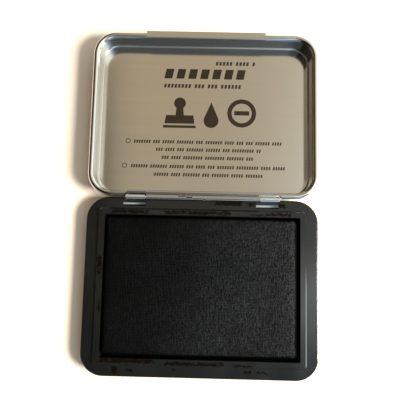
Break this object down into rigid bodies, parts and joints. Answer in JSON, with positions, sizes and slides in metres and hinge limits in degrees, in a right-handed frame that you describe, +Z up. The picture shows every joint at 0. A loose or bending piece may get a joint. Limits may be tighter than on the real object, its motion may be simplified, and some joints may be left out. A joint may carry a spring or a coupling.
{
  "type": "ink pad",
  "caption": "Cloth-covered ink pad in a black moulded tray with a hinged sheet-metal lid that folds back flat and closes over the pad.",
  "frame": {"origin": "on the table, in the middle of the open tin, 0.4 mm in front of the line under the hinge axis", "axes": "+X along the hinge axis, +Y from the hinge towards the open lid, +Z up from the table"},
  "size_m": [0.0848, 0.127, 0.0077],
  "materials": {
    "tray_plastic": "satin black moulding",
    "lid_steel": "fine brushed, warm lacquer",
    "bracket_chrome": "bright plated",
    "pin_steel": "drawn wire",
    "pad_fabric": "woven cloth soaked in black ink",
    "core_felt": "pressed felt",
    "board_card": "grey board"
  },
  "bodies": {
    "base": {"base_tray": "tray_plastic", "hinge_bracket_left": "bracket_chrome", "hinge_bracket_right": "bracket_chrome", "hinge_pin": "pin_steel", "pad_cloth": "pad_fabric", "felt_core": "core_felt", "backing_board": "board_card"},
    "lid": {"lid_shell": "lid_steel"}
  },
  "joints": [
    {"name": "lid_hinge", "type": "hinge", "parent": "base", "child": "lid", "pos_m": [0, 0.0004, 0.0065], "axis": [1, 0, 0], "range_deg": [0, 180]}
  ]
}
